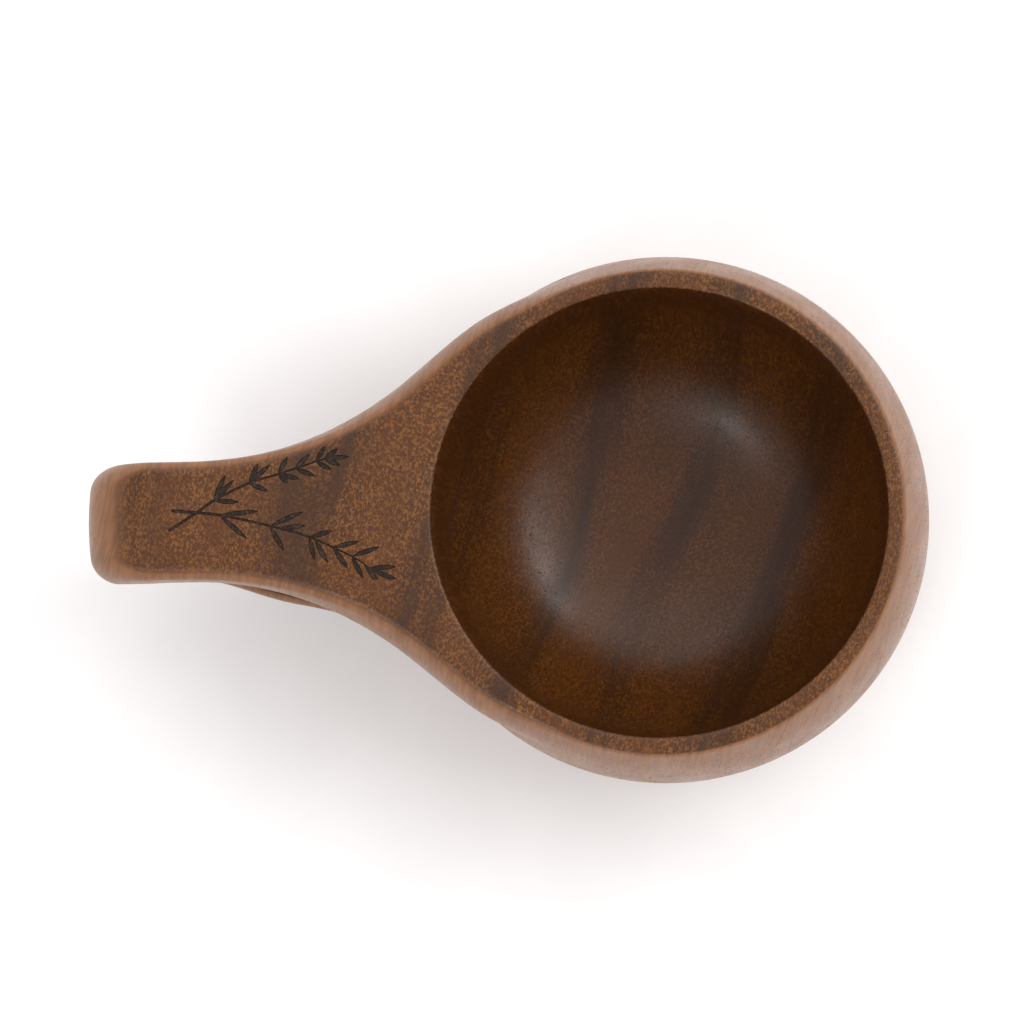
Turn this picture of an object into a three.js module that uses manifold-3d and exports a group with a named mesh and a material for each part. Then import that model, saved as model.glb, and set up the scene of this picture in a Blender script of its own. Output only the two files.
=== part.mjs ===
// Kuksa: a drinking cup carved from one block of wood, with a finger loop for its handle and two
// crossed sprigs engraved in the handle's top. Millimetres, +Z up. The origin is the centre of the
// flat base, on the bowl's axis, and the handle points along -X.

import * as THREE from "three";
import { mergeVertices } from "three/addons/utils/BufferGeometryUtils.js";
import { LoftGeometry } from "three/addons/geometries/LoftGeometry.js";
import Module from "manifold-3d";

// Bowl, outside: a flat base, a round belly and a flat rim.
const CUP_HEIGHT = 60;
const BASE_RADIUS = 26;
const BELLY_RADIUS = 50.3;
const BELLY_HEIGHT = 35;
const RIM_RADIUS = 45.4;

// Bowl, inside: a superellipse turned about the axis, slightly longer along the handle.
const MOUTH_RADIUS = 42;
const MOUTH_STRETCH = 1.017;
const MOUTH_SHIFT = -0.4; // towards the handle
const MOUTH_CHAMFER = 0.7;
const BOWL_DEPTH = 48;
const BOWL_FULLNESS = 3.2; // exponent: 2 is an ellipse, more is a steeper wall and a flatter floor

// Handle, seen from above: straight, then a neck that flares out onto the bowl.
const TIP_X = -109.5;
const HANDLE_HALF_WIDTH = 11.2;
const FLARE_ANGLE = THREE.MathUtils.degToRad(40);
const FLARE_START = THREE.MathUtils.degToRad(22); // where the flare leaves the bowl, from +Y
const FLARE_DISTANCE = 51.3; // from the bowl's axis to the straight side of the flare
const NECK_RADIUS = 66;
const TIP_CORNER_RADIUS = 4.8;
const TIP_BULGE = 0.8;
const EDGE_WIDTH = 2.6; // the rounded top edge, measured across
const EDGE_HEIGHT = 3.6; // and downwards
const ARM_SLIMMING = 1.4; // how much narrower the loop's lower arm is on each side
const ARM_SLIMMING_HEIGHT = 12; // the height over which it narrows, below the belly

// Finger loop, seen from the side.
const ROLL_RADIUS = 13;
const HEEL_RADIUS = 26;
const HEEL_HEIGHT = 24;
const ARM_SLOPE = Math.tan(THREE.MathUtils.degToRad(12));
const PLATE_THICKNESS = 12;
const TIP_THICKNESS = 11;
const ARM_THICKNESS = 10.7;
const HOLE_END_X = -54;
const HOLE_TIP_RADIUS = 9;
const HOLE_HEEL_RADIUS = 6.5;
const HOLE_ROOT_RADIUS = 8;

// Engraving: a groove, and the layer of char that the burning leaves in it.
const GROOVE_DEPTH = 0.8;
const CHAR_THICKNESS = 0.3;
const CLEARANCE = 0.3;
const STEM_WIDTH = 0.4;
const LEAF_WIDTH = 0.85;

// A sprig is a curved stem with leaves. A leaf is [share of the stem, angle, length]: where it
// grows from, its direction in degrees from +X, and how long it is.
const LOWER_SPRIG = {
  stem: [[-91.6, 1.8], [-82.7, 0.8], [-73.3, -1.4], [-65.9, -3.6], [-57.5, -7.6], [-54.8, -9.6]],
  leaves: [
    [0.23, 5, 7.6], [0.23, -41, 7.1],
    [0.48, 22, 7], [0.52, 5, 4.9], [0.48, -60, 5.5],
    [0.68, 14, 4.6], [0.67, -78, 4.5], [0.69, -61, 5.3],
    [0.79, 12, 5.1], [0.79, -56, 5],
    [0.91, 18, 5.7], [0.91, -63, 4.7],
    [0.99, 2, 5.3], [0.99, -24, 6.4], [0.98, -53, 4.7],
  ],
};
const UPPER_SPRIG = {
  stem: [[-92.2, -1.8], [-86.6, 1.7], [-83.8, 3.6], [-77.3, 6.7], [-71.5, 8.4], [-62.2, 11.3]],
  leaves: [
    [0.3, 65, 5.4], [0.3, 45, 5.6], [0.3, -4, 4.9],
    [0.52, 65, 4.2], [0.52, 40, 5.4], [0.52, -24, 3.9],
    [0.7, 61, 3.7], [0.7, -14, 4.2], [0.7, -44, 2.5],
    [0.8, 43, 4], [0.8, -21, 4.2],
    [0.92, 58, 3.6], [0.92, -28, 3.4],
    [0.98, 35, 3.3], [0.98, 4, 4.8], [0.98, -23, 3.3],
  ],
};

// Facets.
const TURNED_SEGMENTS = 96;
const PROFILE_SEGMENTS = 9;
const SHOULDER_SEGMENTS = 3;
const ARC_SEGMENTS = 8;
const EDGE_SEGMENTS = 4;
const HANDLE_SECTIONS = 5; // below the rounded edge
const HANDLE_BOTTOM = 3; // inside the bowl, where the lowest section is
const STEM_SEGMENTS = 10;
const LEAF_SEGMENTS = 3;
const OVERSHOOT = 1; // how far a cutting solid reaches past the surface that it cuts
const MERGE_DISTANCE = 1e-4;

const wasm = await Module();
wasm.setup();

// A closed geometry as a solid: its vertices merged, without the triangles that this collapses.
function solidOf(geometry) {
  const bare = new THREE.BufferGeometry();
  bare.setAttribute("position", geometry.attributes.position);
  bare.setIndex(geometry.index);
  const merged = mergeVertices(bare, MERGE_DISTANCE);
  const triangles = [];
  for (let i = 0; i < merged.index.count; i += 3) {
    const [a, b, c] = merged.index.array.slice(i, i + 3);
    if (a !== b && b !== c && c !== a) triangles.push(a, b, c);
  }
  return new wasm.Manifold(new wasm.Mesh({
    numProp: 3,
    vertProperties: new Float32Array(merged.attributes.position.array),
    triVerts: new Uint32Array(triangles),
  }));
}

function geometryOf(solid) {
  const mesh = solid.getMesh();
  const geometry = new THREE.BufferGeometry();
  geometry.setAttribute("position", new THREE.BufferAttribute(mesh.vertProperties, 3));
  geometry.setIndex(new THREE.BufferAttribute(mesh.triVerts, 1));
  geometry.computeVertexNormals();
  return geometry;
}

// A convex outline whose corners, each [x, y, radius] and listed anticlockwise, are rounded by
// arcs. The first corner is a rounded one.
function roundedShape(corners) {
  const shape = new THREE.Shape();
  corners.forEach(([x, y, radius], i) => {
    if (radius === 0) {
      shape.lineTo(x, y);
      return;
    }
    const corner = new THREE.Vector2(x, y);
    const [before, after] = [corners.at(i - 1), corners[(i + 1) % corners.length]].map(
      ([neighbourX, neighbourY]) => new THREE.Vector2(neighbourX, neighbourY).sub(corner).normalize(),
    );
    const halfAngle = before.angleTo(after) / 2;
    const toCentre = before.clone().add(after).setLength(radius / Math.sin(halfAngle));
    const centre = corner.clone().add(toCentre);
    const start = corner.clone().addScaledVector(before, radius / Math.tan(halfAngle));
    const end = corner.clone().addScaledVector(after, radius / Math.tan(halfAngle));
    shape.absarc(centre.x, centre.y, radius, start.sub(centre).angle(), end.sub(centre).angle());
  });
  return shape;
}

// A solid right across the cup along Y, from a shape drawn in X and Z.
function extrudedAcross(shape) {
  const width = 2 * (BELLY_RADIUS + OVERSHOOT);
  const geometry = new THREE.ExtrudeGeometry(shape, {
    depth: width,
    bevelEnabled: false,
    curveSegments: ARC_SEGMENTS,
  });
  geometry.rotateX(Math.PI / 2);
  geometry.translate(0, width / 2, 0);
  return solidOf(geometry);
}

function turned(profile) {
  const geometry = new THREE.LatheGeometry(profile, TURNED_SEGMENTS);
  geometry.rotateX(Math.PI / 2);
  return geometry;
}

// The bowl's outer radius at height z: an ellipse below the belly and an arc above it.
function bowlRadius(z) {
  if (z < BELLY_HEIGHT) {
    const drop = 1 - z / BELLY_HEIGHT;
    return BASE_RADIUS + (BELLY_RADIUS - BASE_RADIUS) * Math.sqrt(1 - drop * drop);
  }
  const rise = CUP_HEIGHT - BELLY_HEIGHT;
  const inset = BELLY_RADIUS - RIM_RADIUS;
  const arcRadius = (rise * rise + inset * inset) / (2 * inset);
  return BELLY_RADIUS - arcRadius + Math.sqrt(arcRadius ** 2 - (z - BELLY_HEIGHT) ** 2);
}

function bowlBlock() {
  const profile = [new THREE.Vector2(0, 0)];
  for (let i = 0; i <= PROFILE_SEGMENTS; i++) {
    const z = BELLY_HEIGHT * (1 - Math.cos((i / PROFILE_SEGMENTS) * (Math.PI / 2)));
    profile.push(new THREE.Vector2(bowlRadius(z), z));
  }
  for (let i = 1; i <= SHOULDER_SEGMENTS; i++) {
    const z = THREE.MathUtils.lerp(BELLY_HEIGHT, CUP_HEIGHT, i / SHOULDER_SEGMENTS);
    profile.push(new THREE.Vector2(bowlRadius(z), z));
  }
  profile.push(new THREE.Vector2(0, CUP_HEIGHT));
  return solidOf(turned(profile));
}

// What is carved out of the bowl, with the chamfer on the mouth's edge.
function cavity() {
  const profile = [];
  for (let i = 0; i <= PROFILE_SEGMENTS; i++) {
    const t = (i / PROFILE_SEGMENTS) * (Math.PI / 2);
    const radius = MOUTH_RADIUS * Math.sin(t) ** (2 / BOWL_FULLNESS);
    const depth = BOWL_DEPTH * Math.cos(t) ** (2 / BOWL_FULLNESS);
    profile.push(new THREE.Vector2(radius, CUP_HEIGHT - Math.max(depth, MOUTH_CHAMFER)));
  }
  const aboveRim = CUP_HEIGHT + OVERSHOOT;
  profile.push(new THREE.Vector2(MOUTH_RADIUS + MOUTH_CHAMFER + OVERSHOOT, aboveRim));
  profile.push(new THREE.Vector2(0, aboveRim));
  const geometry = turned(profile);
  geometry.scale(MOUTH_STRETCH, 1, 1);
  geometry.translate(MOUTH_SHIFT, 0, 0);
  return solidOf(geometry);
}

// How far the rounded top edge has drawn the handle's side in at height z.
function edgeInset(z) {
  const rise = Math.max(0, z - (CUP_HEIGHT - EDGE_HEIGHT)) / EDGE_HEIGHT;
  return EDGE_WIDTH * (1 - Math.sqrt(1 - Math.min(1, rise) ** 2));
}

// The arc on which the handle leaves the bowl at height z, from the bowl to the straight flare. It
// starts just inside the bowl, so that the two solids join.
function flareArc(z) {
  const bowl = bowlRadius(z) - CLEARANCE;
  const distance = z < BELLY_HEIGHT ? bowl : FLARE_DISTANCE - edgeInset(z);
  const turn = FLARE_ANGLE - FLARE_START;
  const radius = (distance - bowl * Math.cos(turn)) / (1 - Math.cos(turn));
  const centreX = (radius - bowl) * Math.sin(FLARE_START);
  const centreY = (bowl - radius) * Math.cos(FLARE_START);
  const from = Math.PI / 2 + FLARE_START;
  const to = Math.PI / 2 + FLARE_ANGLE;
  return new THREE.EllipseCurve(centreX, centreY, radius, radius, from, to);
}

// One side of the handle at height z, from the bowl to the middle of the tip, in plan.
function handleSide(z) {
  const inset = edgeInset(z);
  const slimming = THREE.MathUtils.smoothstep(BELLY_HEIGHT - z, 0, ARM_SLIMMING_HEIGHT);
  const halfWidth = HANDLE_HALF_WIDTH - inset - ARM_SLIMMING * slimming;
  const flare = flareArc(z).getPoints(ARC_SEGMENTS);

  const neck = NECK_RADIUS + inset;
  const straightDrop = flare.at(-1).y - halfWidth - neck * (1 - Math.cos(FLARE_ANGLE));
  const neckX = flare.at(-1).x - straightDrop / Math.tan(FLARE_ANGLE) - neck * Math.sin(FLARE_ANGLE);
  const down = -Math.PI / 2;
  const neckArc = new THREE.EllipseCurve(
    neckX, halfWidth + neck, neck, neck, down + FLARE_ANGLE, down, true,
  );

  const corner = TIP_CORNER_RADIUS - inset;
  const cornerX = TIP_X + TIP_BULGE + inset + corner;
  const cornerArc = new THREE.EllipseCurve(
    cornerX, halfWidth - corner, corner, corner, Math.PI / 2, Math.PI,
  );
  return [
    ...flare,
    ...neckArc.getPoints(ARC_SEGMENTS),
    ...cornerArc.getPoints(ARC_SEGMENTS),
    new THREE.Vector2(TIP_X + inset, 0),
  ];
}

function handleSection(z) {
  const side = handleSide(z);
  const otherSide = side.slice(0, -1).reverse().map(({ x, y }) => new THREE.Vector2(x, -y));
  return [...side, ...otherSide].map(({ x, y }) => new THREE.Vector3(x, y, z));
}

// The handle before its side view is cut: every level has the plan's outline.
function handleBlank() {
  const edgeStart = CUP_HEIGHT - EDGE_HEIGHT;
  const heights = [];
  for (let i = 0; i < HANDLE_SECTIONS; i++) {
    heights.push(THREE.MathUtils.lerp(HANDLE_BOTTOM, BELLY_HEIGHT, i / (HANDLE_SECTIONS - 1)));
  }
  for (let i = 0; i <= EDGE_SEGMENTS; i++) {
    heights.push(edgeStart + EDGE_HEIGHT * Math.sin((i / EDGE_SEGMENTS) * (Math.PI / 2)));
  }
  const sections = heights.map(handleSection);
  return solidOf(new LoftGeometry(sections, { capStart: true, capEnd: true }));
}

// The height of the loop's underside at x.
function armUnderside(x) {
  return HEEL_HEIGHT - ARM_SLOPE * (x - TIP_X);
}

function loopOutline() {
  return roundedShape([
    [TIP_X, CUP_HEIGHT, ROLL_RADIUS],
    [TIP_X, HEEL_HEIGHT, HEEL_RADIUS],
    [0, armUnderside(0), 0],
    [0, CUP_HEIGHT, 0],
  ]);
}

function fingerHoleOutline() {
  const tipX = TIP_X + TIP_THICKNESS;
  const top = CUP_HEIGHT - PLATE_THICKNESS;
  return roundedShape([
    [tipX, top, HOLE_TIP_RADIUS],
    [tipX, armUnderside(tipX) + ARM_THICKNESS, HOLE_HEEL_RADIUS],
    [HOLE_END_X, armUnderside(HOLE_END_X) + ARM_THICKNESS, HOLE_ROOT_RADIUS],
    [HOLE_END_X, top, HOLE_ROOT_RADIUS],
  ]);
}

function handleBlock() {
  const loop = handleBlank().intersect(extrudedAcross(loopOutline()));
  return loop.subtract(extrudedAcross(fingerHoleOutline()));
}

// A stroke of even width along a curve, in plan.
function stemShape({ stem }, grow) {
  const curve = new THREE.SplineCurve(stem.map(([x, y]) => new THREE.Vector2(x, y)));
  const halfWidth = STEM_WIDTH / 2 + grow;
  const edge = (side) => Array.from({ length: STEM_SEGMENTS + 1 }, (_, i) => {
    const along = curve.getTangentAt(i / STEM_SEGMENTS);
    const across = new THREE.Vector2(-along.y, along.x);
    return curve.getPointAt(i / STEM_SEGMENTS).addScaledVector(across, side * halfWidth);
  });
  return new THREE.Shape([...edge(-1), ...edge(1).reverse()]);
}

// A leaf with two curved sides and a point at each end.
function leafShape({ stem }, [share, degrees, length], grow) {
  const curve = new THREE.SplineCurve(stem.map(([x, y]) => new THREE.Vector2(x, y)));
  const angle = THREE.MathUtils.degToRad(degrees);
  const along = new THREE.Vector2(Math.cos(angle), Math.sin(angle));
  const across = new THREE.Vector2(-along.y, along.x).multiplyScalar(LEAF_WIDTH + 2 * grow);
  const foot = curve.getPointAt(share).addScaledVector(along, -2 * grow);
  const point = foot.clone().addScaledVector(along, length + 4 * grow);
  const middle = foot.clone().lerp(point, 0.5);
  const right = middle.clone().sub(across);
  const left = middle.clone().add(across);
  const shape = new THREE.Shape();
  shape.moveTo(foot.x, foot.y);
  shape.quadraticCurveTo(right.x, right.y, point.x, point.y);
  shape.quadraticCurveTo(left.x, left.y, foot.x, foot.y);
  return shape;
}

// Both sprigs as one solid, every outline grown by the same amount, between two heights.
function sprigs(grow, bottom, top) {
  const shapes = [LOWER_SPRIG, UPPER_SPRIG].flatMap((sprig) => [
    stemShape(sprig, grow),
    ...sprig.leaves.map((leaf) => leafShape(sprig, leaf, grow)),
  ]);
  const solids = shapes.map((shape) => {
    const geometry = new THREE.ExtrudeGeometry(shape, {
      depth: top - bottom,
      bevelEnabled: false,
      curveSegments: LEAF_SEGMENTS,
    });
    geometry.translate(0, 0, bottom);
    return solidOf(geometry);
  });
  return solids.reduce((whole, solid) => whole.add(solid));
}

function cupBody() {
  const groove = sprigs(CLEARANCE, CUP_HEIGHT - GROOVE_DEPTH, CUP_HEIGHT + OVERSHOOT);
  return bowlBlock().add(handleBlock()).subtract(cavity()).subtract(groove);
}

function sprigEngraving() {
  const bottom = CUP_HEIGHT - GROOVE_DEPTH + CLEARANCE;
  return sprigs(0, bottom, bottom + CHAR_THICKNESS);
}

function namedMesh(name, solid, look) {
  const mesh = new THREE.Mesh(geometryOf(solid), new THREE.MeshStandardMaterial(look));
  mesh.name = name;
  return mesh;
}

const LACQUERED_WOOD = { color: 0x6e4830, roughness: 0.45, metalness: 0 };
const CHAR = { color: 0x33241c, roughness: 0.85, metalness: 0 };

const kuksa = new THREE.Group();
kuksa.add(namedMesh("cup_body", cupBody(), LACQUERED_WOOD));
kuksa.add(namedMesh("sprig_engraving", sprigEngraving(), CHAR));

export default kuksa;
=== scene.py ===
"""A kuksa: a drinking cup carved from one block of wood, with two sprigs engraved on its handle.

The shape is worked out in millimetres as a signed distance (negative inside the wood), meshed, and
then scaled to metres. The frame is the CAD's: +Z up, the origin at the centre of the flat base, and
the handle along -X.
"""

import math

import bpy
import numpy as np
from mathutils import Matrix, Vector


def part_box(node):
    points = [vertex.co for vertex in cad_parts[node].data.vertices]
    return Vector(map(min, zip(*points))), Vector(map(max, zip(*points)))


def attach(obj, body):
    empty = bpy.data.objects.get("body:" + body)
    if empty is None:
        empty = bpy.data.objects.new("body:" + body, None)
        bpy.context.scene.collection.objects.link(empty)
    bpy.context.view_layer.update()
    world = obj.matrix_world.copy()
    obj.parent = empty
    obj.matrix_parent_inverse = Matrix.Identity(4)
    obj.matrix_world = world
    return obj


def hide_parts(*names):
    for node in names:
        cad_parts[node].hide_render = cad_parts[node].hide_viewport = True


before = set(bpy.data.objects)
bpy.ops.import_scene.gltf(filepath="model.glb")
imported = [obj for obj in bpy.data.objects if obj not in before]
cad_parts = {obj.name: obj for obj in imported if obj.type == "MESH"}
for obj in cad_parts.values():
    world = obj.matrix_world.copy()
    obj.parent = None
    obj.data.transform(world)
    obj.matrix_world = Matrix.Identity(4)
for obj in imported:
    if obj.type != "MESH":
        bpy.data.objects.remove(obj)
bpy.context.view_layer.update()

import openvdb
from mathutils import Matrix, Vector

MM = 0.001
CUP_LOW, CUP_HIGH = (np.array(corner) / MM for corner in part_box("cup_body"))

# Bowl, in millimetres. The edges are radii, and the fullness is the hollow's exponent: 2 would be an
# ellipse, and more is a steeper wall and a flatter floor.
CUP_HEIGHT = CUP_HIGH[2]
BELLY_RADIUS = CUP_HIGH[0]
BELLY_HEIGHT = 35
BASE_RADIUS = 26
RIM_RADIUS = 45.4
RIM_EDGE = 0.6
MOUTH_RADIUS = 42
MOUTH_STRETCH = 1.017
MOUTH_SHIFT = -0.4
MOUTH_EDGE = 0.5
BOWL_DEPTH = 48
BOWL_FULLNESS = 3.2

# Handle, seen from above: the outline of its flat top, which lies inside the handle's own by the
# rounding of its edge, or at the flare by the lean of its sides. Angles are from +Y.
TIP_X = CUP_LOW[0]
HANDLE_EDGE = 2.6
FLAT_HALF_WIDTH = 11.2 - HANDLE_EDGE
FLARE_EDGE = 3.2  # how far the flare's sides lean out
FLAT_DISTANCE = 50.9 - FLARE_EDGE  # from the bowl's axis to the straight side of the flare
NECK_RADIUS = 66 + HANDLE_EDGE
FLARE_ANGLE = math.radians(40)
FLARE_START = math.radians(16)  # where the outline leaves the rim's circle
BOWL_END = math.radians(44)  # where nothing is left of the bowl's side in the handle's
TIP_BULGE_RADIUS = 60
TIP_EDGE = 4.8  # the rounding at the tip, which grows between two distances from it
TIP_EDGE_START = 14
TIP_EDGE_END = 3
CRISP_EDGE = 1.2  # the rounding at the flare
LEAN_HEIGHT = 8  # the height over which the flare's sides lean

# Finger loop, seen from the side. The lower arm is slimmer than the plate above it at the tip, and
# spreads towards the bowl.
ROLL_RADIUS = 13
HEEL_RADIUS = 26
HEEL_HEIGHT = 24
ARM_SLOPE = math.tan(math.radians(12))
PLATE_THICKNESS = 12
TIP_THICKNESS = 11
ARM_THICKNESS = 10.7
ARM_SLIMMING = 2.4  # on each side
ARM_SPREAD = 4.2  # on each side, between two distances from the tip
ARM_SPREAD_START = 14
ARM_SPREAD_END = 38
HOLE_END_X = -54
HOLE_RADIUS = 7.8
HOLE_EDGE = 2.4
ROOT_FILLET = 3  # where the arm meets the bowl
ROOT_FILLET_DEPTH = 15
ROOT_X = -12  # where the handle ends, inside the bowl

# Engraved sprigs: a stem through XY points, and leaves as [share of the stem, angle, length].
STEM_WIDTH = 0.4
LEAF_WIDTH = 1.0
GROOVE_DEPTH = 0.35
CHAR_DEPTH = 0.12
CHAR_GAP = 0.03
LOWER_STEM = [[-91.6, 1.8], [-82.7, 0.8], [-73.3, -1.4], [-65.9, -3.6], [-57.5, -7.6], [-54.8, -9.6]]
LOWER_LEAVES = [
    [0.23, 5, 7.6], [0.23, -41, 7.1], [0.48, 22, 7], [0.52, 5, 4.9], [0.48, -60, 5.5],
    [0.68, 14, 4.6], [0.67, -78, 4.5], [0.69, -61, 5.3], [0.79, 12, 5.1], [0.79, -56, 5],
    [0.91, 18, 5.7], [0.91, -63, 4.7], [0.99, 2, 5.3], [0.99, -24, 6.4], [0.98, -53, 4.7],
]
UPPER_STEM = [[-92.2, -1.8], [-86.6, 1.7], [-83.8, 3.6], [-77.3, 6.7], [-71.5, 8.4], [-62.2, 11.3]]
UPPER_LEAVES = [
    [0.3, 65, 5.4], [0.3, 45, 5.6], [0.3, -4, 4.9], [0.52, 65, 4.2], [0.52, 40, 5.4],
    [0.52, -24, 3.9], [0.7, 61, 3.7], [0.7, -14, 4.2], [0.7, -44, 2.5], [0.8, 43, 4],
    [0.8, -21, 4.2], [0.92, 58, 3.6], [0.92, -28, 3.4], [0.98, 35, 3.3], [0.98, 4, 4.8],
    [0.98, -23, 3.3],
]
SPRIGS = [[LOWER_STEM, LOWER_LEAVES], [UPPER_STEM, UPPER_LEAVES]]

# Mesh: the grids' spacing, and the distance that the grids hold away from the surface.
VOXEL = 0.45
ENGRAVING_VOXEL = 0.09
FAR_DISTANCE = 1.5

# Wood: growth bands lie at this angle from +X, and one follows another at this distance. End grain
# is dark with pale flecks, which darken below the rim as painted shade. Side grain is plain: pale
# outside as painted light, and dark red inside the bowl as painted shade.
BAND_ANGLE = math.radians(72)
BAND_SPACING = 20.5
DARK_BAND = 2
MIDDLE_BANDS = (-60, 25)
OUTER_BAND_SHARE = 0.45  # beyond the middle bands, a millimetre counts as this much
PAINTED_SHADE_START = 1  # depth below the rim where the flecks start to darken as painted shade
PAINTED_SHADE_END = 14
DARK_WOOD = (0.037, 0.0135, 0.0045, 1)
RED_WOOD = (0.083, 0.0245, 0.0035, 1)
GREY_WOOD = (0.058, 0.0235, 0.0085, 1)
STREAK = (0.040, 0.013, 0.0035, 1)
FLECK = (0.172, 0.066, 0.0145, 1)
# Flecks deep in the bowl, darkened as painted shade.
PAINTED_SHADE_FLECK = (0.128, 0.043, 0.0065, 1)
PORE = (0.016, 0.006, 0.003, 1)
# Side grain outside the bowl, made pale as painted light.
PAINTED_LIGHT_SIDE_GRAIN = (0.245, 0.109, 0.046, 1)
PAINTED_LIGHT_SIDE_STREAK = (0.176, 0.075, 0.031, 1)
# Side grain inside the bowl, made dark red as painted shade.
PAINTED_SHADE_SIDE_GRAIN = (0.054, 0.0145, 0.0014, 1)
PAINTED_SHADE_SIDE_STREAK = (0.094, 0.031, 0.005, 1)
CHAR = (0.016, 0.010, 0.007, 1)
THIN_CHAR = (0.072, 0.042, 0.025, 1)

# Light, in metres, degrees and watts: where each soft box stands, its size and its power.
LIGHT_DISTANCE = 2.5
LIGHTS = {
    "side": {"azimuth": 16, "elevation": 47, "width": 1.8, "height": 0.55, "power": 17},
    "back": {"azimuth": 66, "elevation": 60, "width": 3.4, "height": 1.8, "power": 23},
    "fill": {"azimuth": 234, "elevation": 56, "width": 0.8, "height": 0.6, "power": 9},
}
AIR_COLOUR = (1, 0.972, 0.975, 1)
HORIZON_LIGHT = 1.27
ZENITH_LIGHT = 0.76
LIGHT_FADE = (0.05, 0.75)  # from the horizon to the zenith, as the sine of the elevation

# Camera: where it is and what it looks at in millimetres, its roll in degrees, and its lens.
CAMERA_PLACE = (32, -59, 937)
CAMERA_TARGET = (-27.8, 0.44, 60)
CAMERA_ROLL = math.radians(0.75)
CAMERA_LENS = 165.8
SENSOR_WIDTH = 36

# Stage, in metres.
FLOOR_SIZE = 6
FAR_CLIP = 50

# What follows from those: the shoulder's arc above the belly, and the centres of the plan's arcs.
SHOULDER_RISE = CUP_HEIGHT - BELLY_HEIGHT
SHOULDER_INSET = BELLY_RADIUS - RIM_RADIUS
SHOULDER_RADIUS = (SHOULDER_RISE**2 + SHOULDER_INSET**2) / (2 * SHOULDER_INSET)
FLARE_TURN = math.cos(FLARE_ANGLE - FLARE_START)
SWELL_RADIUS = (FLAT_DISTANCE - RIM_RADIUS * FLARE_TURN) / (1 - FLARE_TURN)
SWELL_X = (SWELL_RADIUS - RIM_RADIUS) * math.sin(FLARE_START)
SWELL_Y = (RIM_RADIUS - SWELL_RADIUS) * math.cos(FLARE_START)
NECK_Y = FLAT_HALF_WIDTH + NECK_RADIUS
NECK_X = (NECK_Y * math.cos(FLARE_ANGLE) - FLAT_DISTANCE - NECK_RADIUS) / math.sin(FLARE_ANGLE)


def smoothstep(value, low, high):
    t = np.clip((value - low) / (high - low), 0, 1)
    return t * t * (3 - 2 * t)


def rounded_max(a, b, radius):
    """The overlap of two shapes, its edge rounded by the radius."""
    corner = np.hypot(np.maximum(a + radius, 0), np.maximum(b + radius, 0))
    return np.minimum(np.maximum(a, b), -radius) + corner


def rounded_min(a, b, radius):
    """Two shapes joined, with a fillet of the radius between them."""
    return -rounded_max(-a, -b, radius)


def bowl_radius(z):
    """The bowl's outer radius at height z: an ellipse below the belly and an arc above it."""
    drop = np.clip(1 - z / BELLY_HEIGHT, 0, 1)
    below = BASE_RADIUS + (BELLY_RADIUS - BASE_RADIUS) * np.sqrt(1 - drop * drop)
    rise = np.clip(z - BELLY_HEIGHT, 0, None)
    return below - SHOULDER_RADIUS + np.sqrt(SHOULDER_RADIUS**2 - rise * rise)


def bowl_side(x, y, z):
    """Distance from the bowl's outer surface."""
    r = np.hypot(x, y)
    width = BELLY_RADIUS - BASE_RADIUS
    across = np.maximum(r - BASE_RADIUS, 0) / width
    down = (BELLY_HEIGHT - z) / BELLY_HEIGHT
    near = np.hypot(across, down) + 1e-6
    steep = np.hypot(across / width, down / BELLY_HEIGHT) + 1e-6
    below = near * (near - 1) / steep
    above = np.hypot(r - BELLY_RADIUS + SHOULDER_RADIUS, z - BELLY_HEIGHT) - SHOULDER_RADIUS
    return np.where(z < BELLY_HEIGHT, below, above)


def cavity(x, y, z):
    """The hollow: a superellipse turned about the axis and a little longer along the handle."""
    n = BOWL_FULLNESS
    across = np.hypot((x - MOUTH_SHIFT) / MOUTH_STRETCH, y) / MOUTH_RADIUS
    down = np.maximum(CUP_HEIGHT - z, 0) / BOWL_DEPTH
    power = across**n + down**n + 1e-9
    near = power ** (1 / n)
    steep = power ** (1 / n - 1) * np.hypot(
        across ** (n - 1) / MOUTH_RADIUS, down ** (n - 1) / BOWL_DEPTH
    )
    return (near - 1) / np.maximum(steep, 1 / BOWL_DEPTH / 4)


def plan(x, y):
    """The flat top's outline: distance from it, and the shares of the bowl and the straight handle.

    The outline is the rim's circle, a swelling arc, the straight flare, the neck's hollow arc and
    the straight handle, each joining the next without a corner.
    """
    y = np.abs(y)
    from_bowl = np.arctan2(-x, y)
    from_swell = np.arctan2(SWELL_X - x, y - SWELL_Y)
    from_neck = np.arctan2(x - NECK_X, NECK_Y - y)
    distance = np.select(
        [from_bowl < FLARE_START, from_swell < FLARE_ANGLE, from_neck > FLARE_ANGLE, from_neck > 0],
        [
            np.hypot(x, y) - RIM_RADIUS,
            np.hypot(x - SWELL_X, y - SWELL_Y) - SWELL_RADIUS,
            y * math.cos(FLARE_ANGLE) - x * math.sin(FLARE_ANGLE) - FLAT_DISTANCE,
            NECK_RADIUS - np.hypot(x - NECK_X, y - NECK_Y),
        ],
        y - FLAT_HALF_WIDTH,
    )
    bowl_share = 1 - smoothstep(from_bowl, FLARE_START, BOWL_END)
    straight_share = 1 - smoothstep(from_neck, 0, FLARE_ANGLE)
    return distance, bowl_share, straight_share


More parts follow.
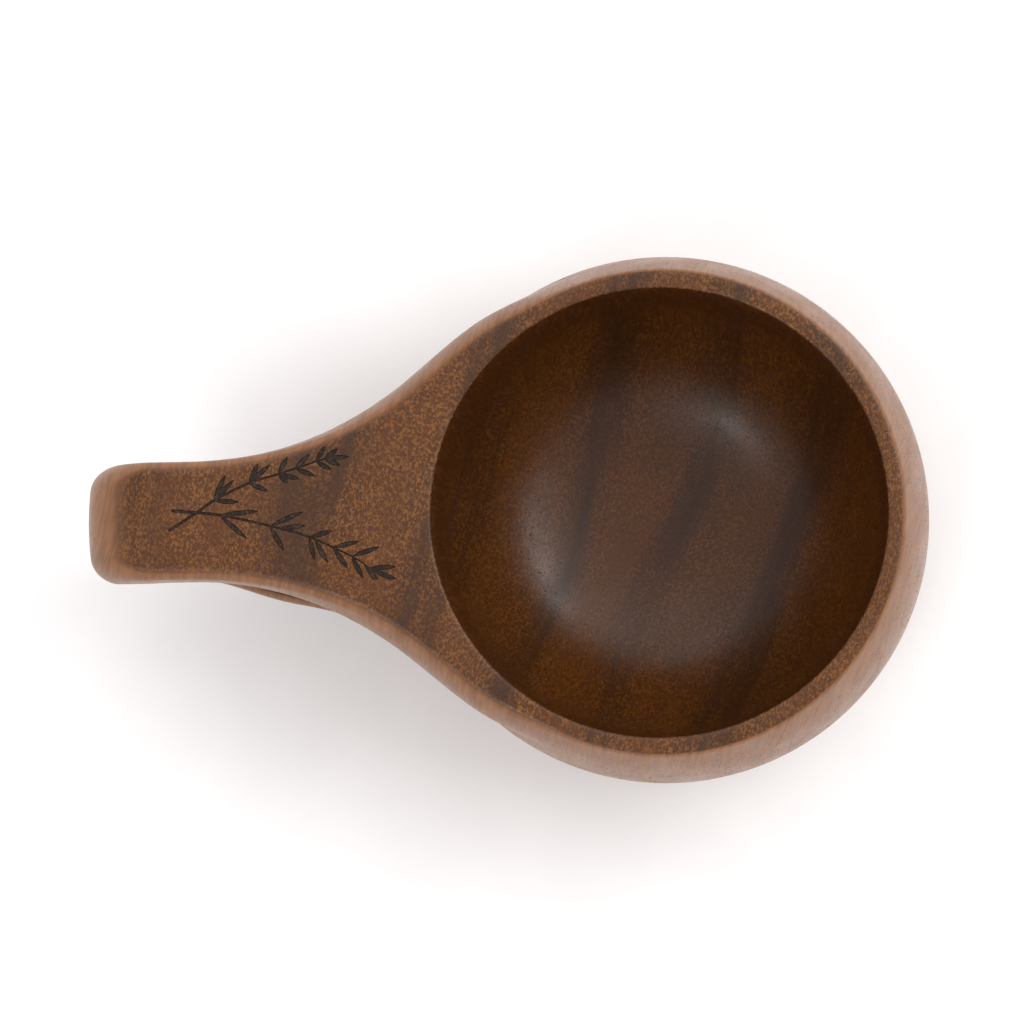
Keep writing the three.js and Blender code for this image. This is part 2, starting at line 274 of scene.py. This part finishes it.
def handle_side(x, y, z):
    """Distance from the handle's sides, which pass into the bowl's and narrow with it below.

    The flare's sides lean outwards under the top, as the bowl's do. Also returns the radius of the
    edge between the sides and the top, and the bowl's share.
    """
    distance, bowl_share, straight_share = plan(x, y)
    lean = FLARE_EDGE * (1 - np.clip(1 - (CUP_HEIGHT - z) / LEAN_HEIGHT, 0, 1) ** 2)
    spread = ARM_SPREAD * smoothstep(x - TIP_X, ARM_SPREAD_START, ARM_SPREAD_END)
    below_plate = CUP_HEIGHT - PLATE_THICKNESS - z
    slimming = (ARM_SLIMMING - spread) * smoothstep(below_plate, 0, PLATE_THICKNESS)
    at_flare = lean - (BELLY_RADIUS - bowl_radius(np.clip(z, 0, BELLY_HEIGHT)))
    at_handle = HANDLE_EDGE - slimming
    sides = distance - at_flare - (at_handle - at_flare) * straight_share
    sides = sides + (bowl_side(x, y, z) - sides) * bowl_share
    edge = CRISP_EDGE + (HANDLE_EDGE - CRISP_EDGE) * straight_share
    edge = edge + (RIM_EDGE - edge) * bowl_share
    return sides, edge, bowl_share


def loop_side(x, y, z):
    """Distance from the loop's outer outline in its side view."""
    x = x - y * y / (2 * TIP_BULGE_RADIUS)
    rolled = rounded_max(z - CUP_HEIGHT, TIP_X - x, ROLL_RADIUS)
    underside = (HEEL_HEIGHT - ARM_SLOPE * (x - TIP_X) - z) / math.hypot(1, ARM_SLOPE)
    return rounded_max(rolled, underside, HEEL_RADIUS)


def finger_hole(x, z):
    """Distance from the hole through the loop."""
    top = z - (CUP_HEIGHT - PLATE_THICKNESS)
    arm_top = HEEL_HEIGHT - ARM_SLOPE * (x - TIP_X) + ARM_THICKNESS
    bottom = (arm_top - z) / math.hypot(1, ARM_SLOPE)
    tip = TIP_X + TIP_THICKNESS - x
    root = x - HOLE_END_X
    return rounded_max(np.maximum(top, bottom), np.maximum(tip, root), HOLE_RADIUS)


def cup(x, y, z):
    """Signed distance from the whole cup's surface, without the engraving."""
    bowl = rounded_max(bowl_side(x, y, z), z - CUP_HEIGHT, RIM_EDGE)
    sides, edge, bowl_share = handle_side(x, y, z)
    edge = edge + (TIP_EDGE - edge) * smoothstep(TIP_X - x, -TIP_EDGE_START, -TIP_EDGE_END)
    handle = rounded_max(sides, loop_side(x, y, z), edge)
    handle = np.maximum(rounded_max(handle, -finger_hole(x, z), HOLE_EDGE), x - ROOT_X)
    fillet = ROOT_FILLET * smoothstep(BELLY_HEIGHT - z, 0, ROOT_FILLET_DEPTH) * (1 - bowl_share) + 0.01
    return rounded_max(rounded_min(bowl, handle, fillet), -cavity(x, y, z), MOUTH_EDGE)


def gradient(field, points):
    """The field's slope at each point."""
    step = 0.01
    slopes = []
    for axis in range(3):
        nudge = np.zeros(3)
        nudge[axis] = step
        ahead = field(*(points + nudge).T)
        behind = field(*(points - nudge).T)
        slopes.append((ahead - behind) / (2 * step))
    return np.stack(slopes, axis=1)


def settle(field, points, rounds=3):
    """Moves points that are near the surface onto it."""
    for _ in range(rounds):
        slope = gradient(field, points)
        size = np.maximum((slope * slope).sum(axis=1), 0.05)
        step = field(*points.T) / size
        points = points - slope * np.clip(step, -VOXEL, VOXEL)[:, None]
    return points


def surface(field, low, high, spacing):
    """The points and four-sided faces of a field's surface inside a box."""
    margin = 2 * spacing
    axes = [np.arange(a - margin, b + margin + spacing, spacing) for a, b in zip(low, high)]
    values = field(*np.meshgrid(*axes, indexing="ij", sparse=True))
    grid = openvdb.FloatGrid(background=FAR_DISTANCE)
    grid.copyFromArray(values.astype(np.float32))
    points, quads = grid.convertToQuads(isovalue=0)
    return points.astype(float) * spacing + [axis[0] for axis in axes], quads


def mesh_piece(name, points, faces, *materials):
    """A smoothly shaded piece from points in millimetres."""
    mesh = bpy.data.meshes.new(name)
    mesh.from_pydata((points * MM).tolist(), [], faces.tolist())
    mesh.validate()
    for material in materials:
        mesh.materials.append(material)
    mesh.shade_smooth()
    piece = bpy.data.objects.new(name, mesh)
    bpy.context.scene.collection.objects.link(piece)
    return piece


def smooth_line(points, pieces=40):
    """A curve through the points (Catmull-Rom), as evenly spaced points."""
    points = np.array(points, float)
    ends = np.array([2 * points[0] - points[1], *points, 2 * points[-1] - points[-2]])
    t = np.linspace(0, 1, 20, endpoint=False)[:, None]
    line = []
    for before, start, end, after in zip(ends, ends[1:], ends[2:], ends[3:]):
        bend = 2 * before - 5 * start + 4 * end - after
        twist = 3 * (start - end) + after - before
        line.extend(start + (t * (end - before) + t**2 * bend + t**3 * twist) / 2)
    line = np.array([*line, points[-1]])
    steps = np.hypot(*np.diff(line, axis=0).T)
    so_far = np.concatenate([[0], np.cumsum(steps)])
    even = np.linspace(0, so_far[-1], pieces + 1)
    return np.stack([np.interp(even, so_far, line[:, axis]) for axis in range(2)], axis=1)


def stem_distance(x, y, line):
    """Distance from a stem that thins towards its end."""
    nearest = np.full(np.broadcast(x, y).shape, np.inf)
    for i, (start, end) in enumerate(zip(line, line[1:])):
        along = end - start
        share = ((x - start[0]) * along[0] + (y - start[1]) * along[1]) / (along @ along)
        share = np.clip(share, 0, 1)
        away = np.hypot(x - start[0] - share * along[0], y - start[1] - share * along[1])
        half_width = STEM_WIDTH * (0.75 - 0.4 * (i + share) / len(line))
        nearest = np.minimum(nearest, away - half_width)
    return nearest


def leaf_distance(x, y, foot, angle, length):
    """Distance from a leaf: two arcs that meet at its foot and at its point."""
    cosine = math.cos(math.radians(angle))
    sine = math.sin(math.radians(angle))
    half_length = length / 2
    half_width = LEAF_WIDTH / 2
    radius = (half_length**2 + half_width**2) / (2 * half_width)
    along = (x - foot[0]) * cosine + (y - foot[1]) * sine - half_length
    across = (y - foot[1]) * cosine - (x - foot[0]) * sine
    return np.hypot(along, np.abs(across) + radius - half_width) - radius


def sprig_distance(x, y):
    """Distance from the outline of both sprigs."""
    nearest = np.inf
    for stem, leaves in SPRIGS:
        line = smooth_line(stem)
        nearest = np.minimum(nearest, stem_distance(x, y, line))
        for share, angle, length in leaves:
            foot = line[round(share * (len(line) - 1))]
            nearest = np.minimum(nearest, leaf_distance(x, y, foot, angle, length))
    return nearest


def engraving_box(bottom, top):
    """A box around both sprigs between two heights."""
    points = np.array(LOWER_STEM + UPPER_STEM)
    reach = max(length for _, _, length in LOWER_LEAVES)
    return [*(points.min(axis=0) - 2), bottom], [*(points.max(axis=0) + reach), top]


def groove(x, y, z):
    """The engraved groove: steep sides, a rounded bottom, and open above the wood."""
    bottom = CUP_HEIGHT - GROOVE_DEPTH
    return rounded_max(sprig_distance(x, y), bottom - z, GROOVE_DEPTH / 2)


def groove_cutter(x, y, z):
    """The groove as a closed solid, to a little above the wood."""
    return np.maximum(groove(x, y, z), z - CUP_HEIGHT - GROOVE_DEPTH)


def char(x, y, z):
    """The burned layer in the groove."""
    top = CUP_HEIGHT - CHAR_DEPTH
    return np.maximum(groove(x, y, z) + CHAR_GAP, z - top)


def carved_cup(wood, burned):
    """The whole cup, with the sprigs' groove cut into it. The groove's faces are burned wood."""
    points, quads = surface(cup, CUP_LOW, CUP_HIGH, VOXEL)
    points = settle(cup, points)
    points[:, 2] = np.maximum(points[:, 2], 0)
    piece = mesh_piece("kuksa_cup", points, quads, wood, burned)
    low, high = engraving_box(CUP_HEIGHT - GROOVE_DEPTH, CUP_HEIGHT + GROOVE_DEPTH)
    cutter = mesh_piece("cutter", *surface(groove_cutter, low, high, ENGRAVING_VOXEL), wood, burned)
    cutter.data.polygons.foreach_set("material_index", [1] * len(cutter.data.polygons))
    cut = piece.modifiers.new("groove", "BOOLEAN")
    cut.operation = "DIFFERENCE"
    cut.solver = "MANIFOLD"
    cut.object = cutter
    evaluated = piece.evaluated_get(bpy.context.evaluated_depsgraph_get())
    carved = bpy.data.meshes.new_from_object(evaluated)
    piece.modifiers.clear()
    piece.data = carved
    bpy.data.objects.remove(cutter)
    carved.set_sharp_from_angle(angle=math.radians(50))
    return piece


def burned_sprigs(burned):
    low, high = engraving_box(CUP_HEIGHT - GROOVE_DEPTH, CUP_HEIGHT - CHAR_DEPTH)
    return mesh_piece("burned_sprigs", *surface(char, low, high, ENGRAVING_VOXEL), burned)


class Shader:
    """Builds a material's nodes. An input may be a plain value or another node's output."""

    def __init__(self, name):
        self.material = bpy.data.materials.new(name)
        self.material.use_nodes = True
        self.tree = self.material.node_tree
        self.surface = self.tree.nodes["Principled BSDF"]

    def connect(self, socket, value):
        if isinstance(value, bpy.types.NodeSocket):
            self.tree.links.new(value, socket)
        else:
            socket.default_value = value

    def node(self, kind, inputs, output=0, **settings):
        node = self.tree.nodes.new("ShaderNode" + kind)
        for name, value in settings.items():
            setattr(node, name, value)
        for name, value in inputs.items():
            self.connect(node.inputs[name], value)
        return node.outputs[output]

    def math(self, operation, *values):
        return self.node("Math", dict(enumerate(values)), operation=operation)

    def range(self, value, low, high, to_low=0, to_high=1):
        """The value's range from low to high, carried smoothly to another range."""
        inputs = {0: value, 1: low, 2: high, 3: to_low, 4: to_high}
        return self.node("MapRange", inputs, interpolation_type="SMOOTHSTEP")

    def mix(self, share, first, second):
        """A blend of two colours."""
        inputs = {0: share, 6: first, 7: second}
        return self.node("Mix", inputs, output=2, data_type="RGBA")

    def stretched(self, place, *scale):
        return self.node("VectorMath", {0: place, 1: scale}, operation="MULTIPLY")

    def noise(self, place, scale, detail=2, roughness=0.5, distortion=0, output=0):
        inputs = {"Vector": place, "Scale": scale, "Detail": detail, "Roughness": roughness}
        return self.node("TexNoise", {**inputs, "Distortion": distortion}, output)

    def finish(self, **inputs):
        for name, value in inputs.items():
            self.connect(self.surface.inputs[name.replace("_", " ")], value)
        return self.material


def grain_place(shader):
    """Place in the wood in millimetres: X across the growth bands, Y along them, Z up."""
    place = shader.node("TexCoord", {}, output=3)
    turn = {"Scale": (1 / MM,) * 3, "Rotation": (0, 0, math.radians(90) - BAND_ANGLE)}
    place = shader.node("Mapping", {"Vector": place, **turn})
    sway = shader.noise(shader.stretched(place, 1, 0.5, 0.25), 0.035, detail=1, output=1)
    sway = shader.node("VectorMath", {0: sway, 1: (0.5, 0.5, 0.5)}, operation="SUBTRACT")
    sway = shader.stretched(sway, 13, 13, 0)
    return shader.node("VectorMath", {0: place, 1: sway}, operation="ADD")


def growth_band(shader, place):
    """0 in the dark growth bands and 1 between them. Beyond the middle ones they lie wider."""
    across = shader.node("SeparateXYZ", {0: place})
    low, high = MIDDLE_BANDS
    middle = shader.math("MINIMUM", shader.math("MAXIMUM", across, low), high)
    beyond = shader.math("SUBTRACT", across, middle)
    across = shader.math("MULTIPLY_ADD", beyond, OUTER_BAND_SHARE, middle)
    turn = 2 * math.pi / BAND_SPACING
    phase = shader.math("MULTIPLY_ADD", across, turn, -turn * DARK_BAND - math.pi / 2)
    wave = shader.math("SINE", phase)
    streaks = shader.noise(shader.stretched(place, 1, 0.1, 0.06), 0.3, detail=3)
    streaks = shader.range(streaks, 0.25, 0.75, -1, 1)
    band = shader.math("MULTIPLY_ADD", streaks, 0.55, wave)
    return shader.range(band, -1.7, 0.75)


def outward_painted_light_share(shader, normal):
    """1 where the surface looks away from the bowl's axis, and 0 where it looks back to it: the share
    of painted light outside against painted shade inside.
    """
    place = shader.stretched(shader.node("TexCoord", {}, output=3), 1 / MM, 1 / MM, 0)
    facing = shader.node("VectorMath", {0: normal, 1: place}, output=1, operation="DOT_PRODUCT")
    return shader.range(facing, -2, 2)


def lacquered_wood():
    """Brown hardwood with upright fibres: bands of pale flecks on end grain, smooth side grain.
    Painted light makes the outside pale, and painted shade darkens the inside of the bowl and the
    flecks deep in it.
    """
    shader = Shader("lacquered_wood")
    place = grain_place(shader)
    band = growth_band(shader, place)
    normal = shader.node("TexCoord", {}, output=1)
    upright = shader.math("ABSOLUTE", shader.node("SeparateXYZ", {0: normal}, output=2))
    painted_light_outside = outward_painted_light_share(shader, normal)
    # Outside, only nearly level faces count as end grain, so the painted light of the side grain
    # starts right at an edge's rounding.
    inner_end = shader.range(upright, 0.02, 0.3)
    outer_end = shader.range(upright, 0.78, 0.99)
    end_grain = shader.node("Mix", {0: painted_light_outside, 2: inner_end, 3: outer_end})

    flecks = shader.noise(shader.stretched(place, 1, 0.7, 0.1), 2.3, detail=1, distortion=0.7)
    flecks = shader.range(flecks, 0.43, 0.66)
    patches = shader.noise(shader.stretched(place, 1, 0.5, 0.1), 0.16, detail=2)
    patches = shader.range(patches, 0.3, 0.6, 0.5, 1)
    amount = shader.math("MULTIPLY", flecks, patches)
    amount = shader.math("MULTIPLY", amount, shader.range(band, 0, 0.7, 0.15, 1))
    amount = shader.math("MULTIPLY", amount, shader.range(end_grain, 0, 1, 0.35, 1))
    # Painted shade: the flecks darken with depth below the rim.
    height = shader.node("SeparateXYZ", {0: place}, output=2)
    painted_shade_depth = shader.math("SUBTRACT", CUP_HEIGHT, height)
    painted_shade_depth = shader.range(painted_shade_depth, PAINTED_SHADE_START, PAINTED_SHADE_END)
    pores = shader.noise(shader.stretched(place, 1, 0.8, 0.05), 3.2, detail=0)
    pores = shader.range(pores, 0.68, 0.76)
    fine = shader.noise(shader.stretched(place, 1, 0.12, 0.1), 1.6, detail=2)
    fine = shader.range(fine, 0.3, 0.7)

    ground = shader.mix(band, DARK_WOOD, RED_WOOD)
    ground = shader.mix(shader.range(fine, 0, 1, 0, 0.3), ground, STREAK)
    tint = shader.range(shader.noise(place, 0.05), 0.35, 0.65, 0, 0.3)
    ground = shader.mix(tint, ground, GREY_WOOD)
    colour = shader.mix(amount, ground, shader.mix(painted_shade_depth, FLECK, PAINTED_SHADE_FLECK))
    colour = shader.mix(shader.math("MULTIPLY", pores, 0.5), colour, PORE)
    # Side grain: pale outside as painted light, dark inside the bowl as painted shade.
    painted_light_side = shader.mix(fine, PAINTED_LIGHT_SIDE_GRAIN, PAINTED_LIGHT_SIDE_STREAK)
    painted_light_side = shader.mix(shader.math("MULTIPLY", amount, 0.5), painted_light_side, FLECK)
    fibres = shader.noise(shader.stretched(place, 1, 1, 0.06), 1.3, detail=3)
    painted_shade_side = shader.mix(shader.range(fibres, 0.45, 0.75), PAINTED_SHADE_SIDE_GRAIN, PAINTED_SHADE_SIDE_STREAK)
    side_colour_with_painted_light = shader.mix(painted_light_outside, painted_shade_side, painted_light_side)
    colour = shader.mix(end_grain, side_colour_with_painted_light, colour)

    wear = shader.noise(place, 0.12, detail=4)
    roughness = shader.range(wear, 0.3, 0.7, 0.3, 0.41)
    roughness = shader.math("MULTIPLY_ADD", pores, 0.2, roughness)
    relief = shader.math("MULTIPLY_ADD", pores, -0.8, flecks)
    bump = {"Height": relief, "Strength": 0.08, "Distance": 0.06 * MM}
    return shader.finish(
        Base_Color=colour,
        Roughness=roughness,
        Normal=shader.node("Bump", bump),
        Specular_IOR_Level=0.32,
    )


def burned_wood():
    """Scorched wood: dark and dull, with paler fibres where the burn is thin."""
    shader = Shader("burned_wood")
    place = grain_place(shader)
    fibres = shader.noise(shader.stretched(place, 1, 0.7, 0.1), 1.6, detail=3)
    thin = shader.range(fibres, 0.45, 0.75, 0, 0.6)
    colour = shader.mix(thin, CHAR, THIN_CHAR)
    grit = shader.noise(place, 7, detail=2)
    bump = {"Height": grit, "Strength": 0.5, "Distance": 0.1 * MM}
    return shader.finish(
        Base_Color=colour,
        Roughness=shader.range(grit, 0.3, 0.7, 0.7, 0.95),
        Normal=shader.node("Bump", bump),
        Specular_IOR_Level=0.25,
    )


def studio_paper():
    """Matt, nearly white paper with a faint mottle."""
    shader = Shader("studio_paper")
    place = shader.node("TexCoord", {}, output=3)
    grey = shader.range(shader.noise(place, 40, detail=3), 0.3, 0.7, 0.9, 0.93)
    colour = shader.node("CombineColor", {0: grey, 1: grey, 2: grey})
    return shader.finish(Base_Color=colour, Roughness=0.9)


def studio_air():
    """Soft light from all sides: bright near the horizon and dim overhead."""
    world = bpy.data.worlds.new("studio_air")
    world.use_nodes = True
    tree = world.node_tree
    background = tree.nodes["Background"]
    background.inputs["Color"].default_value = AIR_COLOUR
    direction = tree.nodes.new("ShaderNodeTexCoord").outputs["Generated"]
    split = tree.nodes.new("ShaderNodeSeparateXYZ")
    fade = tree.nodes.new("ShaderNodeMapRange")
    for number, value in enumerate([*LIGHT_FADE, HORIZON_LIGHT, ZENITH_LIGHT], start=1):
        fade.inputs[number].default_value = value
    tree.links.new(direction, split.inputs[0])
    tree.links.new(split.outputs["Z"], fade.inputs[0])
    tree.links.new(fade.outputs[0], background.inputs["Strength"])
    return world


def area_light(name, azimuth, elevation, width, height, power):
    """A soft box that looks at the cup from a direction in degrees."""
    light = bpy.data.lights.new(name, "AREA")
    light.shape = "RECTANGLE"
    light.size = width
    light.size_y = height
    light.energy = power
    lamp = bpy.data.objects.new(name, light)
    a, e = math.radians(azimuth), math.radians(elevation)
    direction = Vector((math.cos(a) * math.cos(e), math.sin(a) * math.cos(e), math.sin(e)))
    lamp.location = direction * LIGHT_DISTANCE
    lamp.rotation_euler = direction.to_track_quat("Z", "Y").to_euler()
    bpy.context.scene.collection.objects.link(lamp)


def studio_camera():
    """The camera: it looks down on the cup, a little from the side."""
    lens = bpy.data.cameras.new("camera")
    lens.lens = CAMERA_LENS
    lens.sensor_width = SENSOR_WIDTH
    lens.clip_end = FAR_CLIP
    camera = bpy.data.objects.new("camera", lens)
    bpy.context.scene.collection.objects.link(camera)
    camera.location = Vector(CAMERA_PLACE) * MM
    look = (Vector(CAMERA_TARGET) * MM - camera.location).normalized()
    right = look.cross(Vector((math.sin(CAMERA_ROLL), math.cos(CAMERA_ROLL), 0))).normalized()
    axes = Matrix((right, right.cross(look), -look)).transposed()
    camera.rotation_mode = "QUATERNION"
    camera.rotation_quaternion = axes.to_quaternion()
    return camera


burned = burned_wood()
cup_piece = carved_cup(lacquered_wood(), burned)
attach(cup_piece, "root")
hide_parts("cup_body")
sprig_piece = burned_sprigs(burned)
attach(sprig_piece, "root")
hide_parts("sprig_engraving")

bpy.ops.mesh.primitive_plane_add(size=FLOOR_SIZE)
floor = bpy.context.object
floor.name = "studio_floor"
floor.data.materials.append(studio_paper())

scene = bpy.context.scene
scene.world = studio_air()
for name, light in LIGHTS.items():
    area_light(name, **light)
scene.camera = studio_camera()
scene.view_settings.view_transform = "Standard"
